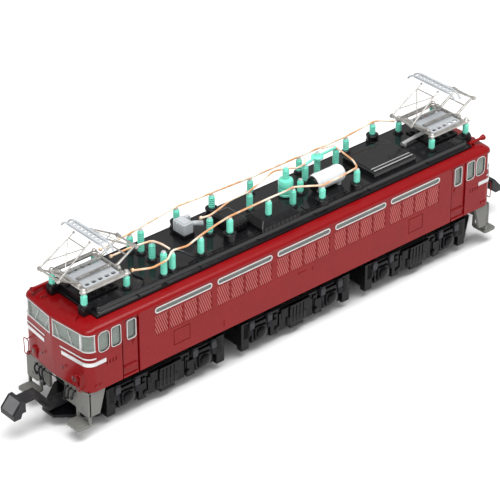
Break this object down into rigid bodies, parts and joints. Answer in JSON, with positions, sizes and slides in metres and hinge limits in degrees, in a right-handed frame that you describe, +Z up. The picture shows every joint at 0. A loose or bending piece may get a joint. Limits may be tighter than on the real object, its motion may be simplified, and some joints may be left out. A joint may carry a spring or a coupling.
{
  "type": "model electric locomotive",
  "caption": "Model electric locomotive with a deep red body, raised pantographs, mint insulators and roof wiring, hook couplers and a geared drive to its bogies",
  "frame": {"origin": "centre of the locomotive, at the level of the wheel flanges' lowest points", "axes": "+X along the locomotive towards its rear cab, +Y to its left side, +Z up"},
  "size_m": [0.1284, 0.0196, 0.0373],
  "materials": {
    "body_red": "satin deep red",
    "clear_glazing": "clear, faint green-grey",
    "roof_black": "grey-black matt",
    "insulator_mint": "satin mint green",
    "copper_wire": "copper, rubbed to cream",
    "silver_metal": "silver paint",
    "tank_white": "light grey",
    "cab_interior": "pale green-grey",
    "die_cast": "dark die cast",
    "circuit_board": "green board",
    "motor_steel": "plated steel",
    "motor_winding": "copper winding",
    "brass": "turned brass",
    "pilot_grey": "mid grey",
    "coupler_grey": "dark grey",
    "black_plastic": "satin black",
    "wheel_steel": "blackened nickel",
    "gear_nylon": "natural nylon"
  },
  "bodies": {
    "locomotive_body": {"air_blast_breaker": "silver_metal", "air_tank": "tank_white", "body_shell": "body_red", "centre_busbar": "copper_wire", "circuit_board": "circuit_board", "crossing_busbar": "copper_wire", "far_busbar": "copper_wire", "far_insulators": "insulator_mint", "front_cab": "cab_interior", "front_pantograph_base": "silver_metal", "front_pilot": "pilot_grey", "front_windscreen": "clear_glazing", "left_chassis": "die_cast", "left_side_glazing": "clear_glazing", "middle_insulators": "insulator_mint", "motor_case": "motor_steel", "near_busbar": "copper_wire", "near_insulators": "insulator_mint", "rear_cab": "cab_interior", "rear_pantograph_base": "silver_metal", "rear_pilot": "pilot_grey", "rear_windscreen": "clear_glazing", "resistor_box": "roof_black", "right_chassis": "die_cast", "right_side_glazing": "clear_glazing", "roof_panel": "roof_black", "voltage_transformer": "insulator_mint"},
    "motor_rotor": {"motor_armature": "motor_winding", "front_flywheel": "brass", "rear_flywheel": "brass"},
    "front_bogie": {"front_bogie_frame": "black_plastic"},
    "front_worm_shaft": {"front_worm": "brass"},
    "front_worm_gear": {"front_worm_wheel": "gear_nylon"},
    "front_leading_idler_gear": {"front_leading_idler": "gear_nylon"},
    "front_leading_wheels": {"front_leading_wheelset": "wheel_steel"},
    "front_trailing_idler_gear": {"front_trailing_idler": "gear_nylon"},
    "front_trailing_wheels": {"front_trailing_wheelset": "wheel_steel"},
    "front_coupler_arm": {"front_coupler": "coupler_grey"},
    "front_panto_lower_front": {"front_pantograph_lower_front": "silver_metal"},
    "front_panto_lower_rear": {"front_pantograph_lower_rear": "silver_metal"},
    "front_panto_upper_front": {"front_pantograph_upper_front": "silver_metal"},
    "front_panto_upper_rear": {"front_pantograph_upper_rear": "silver_metal"},
    "front_panto_head": {"front_pantograph_head": "silver_metal"},
    "rear_bogie": {"rear_bogie_frame": "black_plastic"},
    "rear_worm_shaft": {"rear_worm": "brass"},
    "rear_worm_gear": {"rear_worm_wheel": "gear_nylon"},
    "rear_leading_idler_gear": {"rear_leading_idler": "gear_nylon"},
    "rear_leading_wheels": {"rear_leading_wheelset": "wheel_steel"},
    "rear_trailing_idler_gear": {"rear_trailing_idler": "gear_nylon"},
    "rear_trailing_wheels": {"rear_trailing_wheelset": "wheel_steel"},
    "rear_coupler_arm": {"rear_coupler": "coupler_grey"},
    "rear_panto_lower_front": {"rear_pantograph_lower_front": "silver_metal"},
    "rear_panto_lower_rear": {"rear_pantograph_lower_rear": "silver_metal"},
    "rear_panto_upper_front": {"rear_pantograph_upper_front": "silver_metal"},
    "rear_panto_upper_rear": {"rear_pantograph_upper_rear": "silver_metal"},
    "rear_panto_head": {"rear_pantograph_head": "silver_metal"},
    "middle_bogie": {"middle_bogie_frame": "black_plastic"},
    "middle_leading_wheels": {"middle_leading_wheelset": "wheel_steel"},
    "middle_trailing_wheels": {"middle_trailing_wheelset": "wheel_steel"}
  },
  "joints": [
    {"name": "motor_spin", "type": "hinge", "parent": "locomotive_body", "child": "motor_rotor", "pos_m": [0, 0, 0.01294], "axis": [1, 0, 0], "continuous": true},
    {"name": "front_bogie_yaw", "type": "hinge", "parent": "locomotive_body", "child": "front_bogie", "pos_m": [-0.033, 0, 0.01], "axis": [0, 0, 1], "range_deg": [-6, 6]},
    {"name": "front_worm_spin", "type": "hinge", "parent": "front_bogie", "child": "front_worm_shaft", "pos_m": [-0.033, 0, 0.01294], "axis": [1, 0, 0], "continuous": true},
    {"name": "front_worm_gear_spin", "type": "hinge", "parent": "front_bogie", "child": "front_worm_gear", "pos_m": [-0.033, 0, 0.00787], "axis": [0, 1, 0], "continuous": true},
    {"name": "front_leading_idler_spin", "type": "hinge", "parent": "front_bogie", "child": "front_leading_idler_gear", "pos_m": [-0.03775, 0, 0.0042], "axis": [0, 1, 0], "continuous": true},
    {"name": "front_leading_wheels_spin", "type": "hinge", "parent": "front_bogie", "child": "front_leading_wheels", "pos_m": [-0.04235, 0, 0.0042], "axis": [0, 1, 0], "continuous": true},
    {"name": "front_trailing_idler_spin", "type": "hinge", "parent": "front_bogie", "child": "front_trailing_idler_gear", "pos_m": [-0.02825, 0, 0.0042], "axis": [0, 1, 0], "continuous": true},
    {"name": "front_trailing_wheels_spin", "type": "hinge", "parent": "front_bogie", "child": "front_trailing_wheels", "pos_m": [-0.02365, 0, 0.0042], "axis": [0, 1, 0], "continuous": true},
    {"name": "front_coupler_lift", "type": "hinge", "parent": "front_bogie", "child": "front_coupler_arm", "pos_m": [-0.0485, 0, 0.00405], "axis": [0, 1, 0], "range_deg": [0, 5], "stiffness_Nm_per_rad": 0.0002, "springref_deg": -4.98},
    {"name": "front_panto_raise", "type": "hinge", "parent": "locomotive_body", "child": "front_panto_lower_front", "pos_m": [-0.0488, 0, 0.0291], "axis": [0, 1, 0], "range_deg": [-20, 35]},
    {"name": "front_panto_lower_rear_turn", "type": "hinge", "parent": "locomotive_body", "child": "front_panto_lower_rear", "pos_m": [-0.0398, 0, 0.0291], "axis": [0, 1, 0], "range_deg": [-35, 20]},
    {"name": "front_panto_upper_front_turn", "type": "hinge", "parent": "front_panto_lower_front", "child": "front_panto_upper_front", "pos_m": [-0.0533, 0, 0.0317], "axis": [0, 1, 0], "range_deg": [-52.5, 30]},
    {"name": "front_panto_upper_rear_turn", "type": "hinge", "parent": "front_panto_lower_rear", "child": "front_panto_upper_rear", "pos_m": [-0.0353, 0, 0.0317], "axis": [0, 1, 0], "range_deg": [-30, 52.5]},
    {"name": "front_panto_head_level", "type": "hinge", "parent": "front_panto_upper_front", "child": "front_panto_head", "pos_m": [-0.0455, 0, 0.0366], "axis": [0, 1, 0], "range_deg": [-10, 17.5]},
    {"name": "rear_bogie_yaw", "type": "hinge", "parent": "locomotive_body", "child": "rear_bogie", "pos_m": [0.033, 0, 0.01], "axis": [0, 0, 1], "range_deg": [-6, 6]},
    {"name": "rear_worm_spin", "type": "hinge", "parent": "rear_bogie", "child": "rear_worm_shaft", "pos_m": [0.033, 0, 0.01294], "axis": [1, 0, 0], "continuous": true},
    {"name": "rear_worm_gear_spin", "type": "hinge", "parent": "rear_bogie", "child": "rear_worm_gear", "pos_m": [0.033, 0, 0.00787], "axis": [0, 1, 0], "continuous": true},
    {"name": "rear_leading_idler_spin", "type": "hinge", "parent": "rear_bogie", "child": "rear_leading_idler_gear", "pos_m": [0.02825, 0, 0.0042], "axis": [0, 1, 0], "continuous": true},
    {"name": "rear_leading_wheels_spin", "type": "hinge", "parent": "rear_bogie", "child": "rear_leading_wheels", "pos_m": [0.02365, 0, 0.0042], "axis": [0, 1, 0], "continuous": true},
    {"name": "rear_trailing_idler_spin", "type": "hinge", "parent": "rear_bogie", "child": "rear_trailing_idler_gear", "pos_m": [0.03775, 0, 0.0042], "axis": [0, 1, 0], "continuous": true},
    {"name": "rear_trailing_wheels_spin", "type": "hinge", "parent": "rear_bogie", "child": "rear_trailing_wheels", "pos_m": [0.04235, 0, 0.0042], "axis": [0, 1, 0], "continuous": true},
    {"name": "rear_coupler_lift", "type": "hinge", "parent": "rear_bogie", "child": "rear_coupler_arm", "pos_m": [0.0485, 0, 0.00405], "axis": [0, -1, 0], "range_deg": [0, 5], "stiffness_Nm_per_rad": 0.0002, "springref_deg": -4.98},
    {"name": "rear_panto_raise", "type": "hinge", "parent": "locomotive_body", "child": "rear_panto_lower_front", "pos_m": [0.0398, 0, 0.0291], "axis": [0, 1, 0], "range_deg": [-20, 35]},
    {"name": "rear_panto_lower_rear_turn", "type": "hinge", "parent": "locomotive_body", "child": "rear_panto_lower_rear", "pos_m": [0.0488, 0, 0.0291], "axis": [0, 1, 0], "range_deg": [-35, 20]},
    {"name": "rear_panto_upper_front_turn", "type": "hinge", "parent": "rear_panto_lower_front", "child": "rear_panto_upper_front", "pos_m": [0.0353, 0, 0.0317], "axis": [0, 1, 0], "range_deg": [-52.5, 30]},
    {"name": "rear_panto_upper_rear_turn", "type": "hinge", "parent": "rear_panto_lower_rear", "child": "rear_panto_upper_rear", "pos_m": [0.0533, 0, 0.0317], "axis": [0, 1, 0], "range_deg": [-30, 52.5]},
    {"name": "rear_panto_head_level", "type": "hinge", "parent": "rear_panto_upper_front", "child": "rear_panto_head", "pos_m": [0.0431, 0, 0.0366], "axis": [0, 1, 0], "range_deg": [-10, 17.5]},
    {"name": "middle_bogie_slide", "type": "slide", "parent": "locomotive_body", "child": "middle_bogie", "axis": [0, 1, 0], "range_m": [-0.0015, 0.0015]},
    {"name": "middle_leading_wheels_spin", "type": "hinge", "parent": "middle_bogie", "child": "middle_leading_wheels", "pos_m": [-0.00935, 0, 0.0042], "axis": [0, 1, 0], "continuous": true},
    {"name": "middle_trailing_wheels_spin", "type": "hinge", "parent": "middle_bogie", "child": "middle_trailing_wheels", "pos_m": [0.00935, 0, 0.0042], "axis": [0, 1, 0], "continuous": true}
  ],
  "couplings": [
    {"joint": "front_worm_spin", "follows": "motor_spin", "ratio": 1},
    {"joint": "front_worm_gear_spin", "follows": "motor_spin", "ratio": -0.055556},
    {"joint": "front_leading_idler_spin", "follows": "motor_spin", "ratio": 0.083333},
    {"joint": "front_leading_wheels_spin", "follows": "motor_spin", "ratio": -0.090909},
    {"joint": "front_trailing_idler_spin", "follows": "motor_spin", "ratio": 0.083333},
    {"joint": "front_trailing_wheels_spin", "follows": "motor_spin", "ratio": -0.090909},
    {"joint": "front_panto_lower_rear_turn", "follows": "front_panto_raise", "ratio": -1},
    {"joint": "front_panto_upper_front_turn", "follows": "front_panto_raise", "ratio": -1.5},
    {"joint": "front_panto_upper_rear_turn", "follows": "front_panto_raise", "ratio": 1.5},
    {"joint": "front_panto_head_level", "follows": "front_panto_raise", "ratio": 0.5},
    {"joint": "rear_worm_spin", "follows": "motor_spin", "ratio": 1},
    {"joint": "rear_worm_gear_spin", "follows": "motor_spin", "ratio": -0.055556},
    {"joint": "rear_leading_idler_spin", "follows": "motor_spin", "ratio": 0.083333},
    {"joint": "rear_leading_wheels_spin", "follows": "motor_spin", "ratio": -0.090909},
    {"joint": "rear_trailing_idler_spin", "follows": "motor_spin", "ratio": 0.083333},
    {"joint": "rear_trailing_wheels_spin", "follows": "motor_spin", "ratio": -0.090909},
    {"joint": "rear_panto_lower_rear_turn", "follows": "rear_panto_raise", "ratio": -1},
    {"joint": "rear_panto_upper_front_turn", "follows": "rear_panto_raise", "ratio": -1.5},
    {"joint": "rear_panto_upper_rear_turn", "follows": "rear_panto_raise", "ratio": 1.5},
    {"joint": "rear_panto_head_level", "follows": "rear_panto_raise", "ratio": 0.5}
  ]
}
